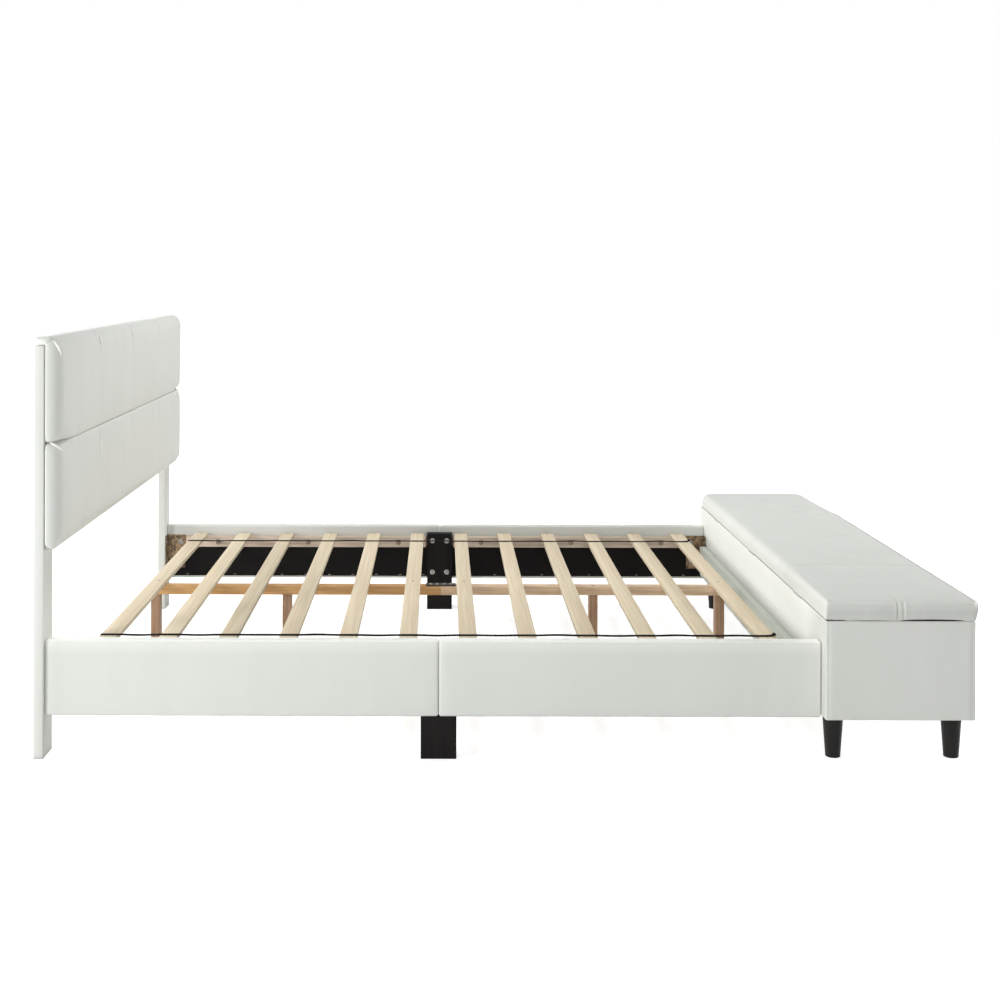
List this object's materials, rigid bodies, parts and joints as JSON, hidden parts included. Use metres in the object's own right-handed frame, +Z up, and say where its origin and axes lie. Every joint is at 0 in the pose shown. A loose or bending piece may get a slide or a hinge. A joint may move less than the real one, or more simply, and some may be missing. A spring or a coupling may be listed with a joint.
{
  "type": "bed with blanket chest footboard",
  "caption": "Low upholstered platform bed with a padded panel headboard, slatted deck and a full-width storage chest with a hinged padded lid as its footboard.",
  "frame": {"origin": "on the floor, under the centre of the bed's overall box", "axes": "+X from the headboard to the chest, +Y to the left side of someone lying in the bed, +Z up"},
  "size_m": [2.466, 1.7, 1.105],
  "materials": {
    "board": "matte",
    "pu_cover": "satin",
    "pu_padding": "satin",
    "pine": "matte",
    "beam_wood": "matte",
    "leg_wood": "matte",
    "felt": "matte",
    "webbing": "matte",
    "lining": "matte",
    "black_wood": "satin",
    "black_steel": "satin",
    "yellow_zinc": "satin",
    "zinc": "satin",
    "dark_bolt": "satin"
  },
  "bodies": {
    "bed": {"left_post": "board", "right_post": "board", "left_post_cover": "pu_cover", "right_post_cover": "pu_cover", "headboard_top_rail": "pu_cover", "headboard_mid_rail": "board", "headboard_lower_rail": "board", "headboard_back_cloth": "pu_cover", "upper_pad_board": "board", "lower_pad_board": "board", "upper_pad": "pu_padding", "lower_pad": "pu_padding", "headboard_bolts": "zinc", "left_head_rail": "board", "left_foot_rail": "board", "right_head_rail": "board", "right_foot_rail": "board", "left_head_rail_cover": "pu_cover", "left_foot_rail_cover": "pu_cover", "right_head_rail_cover": "pu_cover", "right_foot_rail_cover": "pu_cover", "rail_felt": "felt", "left_head_ledger": "pine", "left_foot_ledger": "pine", "right_head_ledger": "pine", "right_foot_ledger": "pine", "ledger_bolts": "dark_bolt", "left_mid_leg": "black_wood", "right_mid_leg": "black_wood", "corner_brackets": "yellow_zinc", "frame_bolts": "zinc", "slats": "pine", "left_strap": "webbing", "right_strap": "webbing", "beam_head_half": "beam_wood", "beam_foot_half": "beam_wood", "splice_plate": "black_steel", "beam_bolts": "dark_bolt", "beam_leg_1": "leg_wood", "beam_leg_2": "leg_wood", "beam_leg_3": "leg_wood", "beam_leg_4": "leg_wood", "foot_cleat": "pu_cover", "chest_head_panel": "board", "chest_foot_panel": "board", "chest_left_end": "board", "chest_right_end": "board", "chest_floor": "board", "chest_cover": "pu_cover", "chest_lining": "lining", "chest_foot_1": "black_wood", "chest_foot_2": "black_wood", "chest_foot_3": "black_wood", "chest_foot_4": "black_wood", "hinge_chest_leaves": "zinc", "hinge_pins": "zinc"},
    "lid": {"lid_board": "board", "lid_cushion": "pu_padding", "lid_lining": "lining", "hinge_lid_leaves": "zinc"}
  },
  "joints": [
    {"name": "lid_hinge", "type": "hinge", "parent": "bed", "child": "lid", "pos_m": [0.839, 0, 0.3745], "axis": [0, -1, 0], "range_deg": [0, 85]}
  ]
}
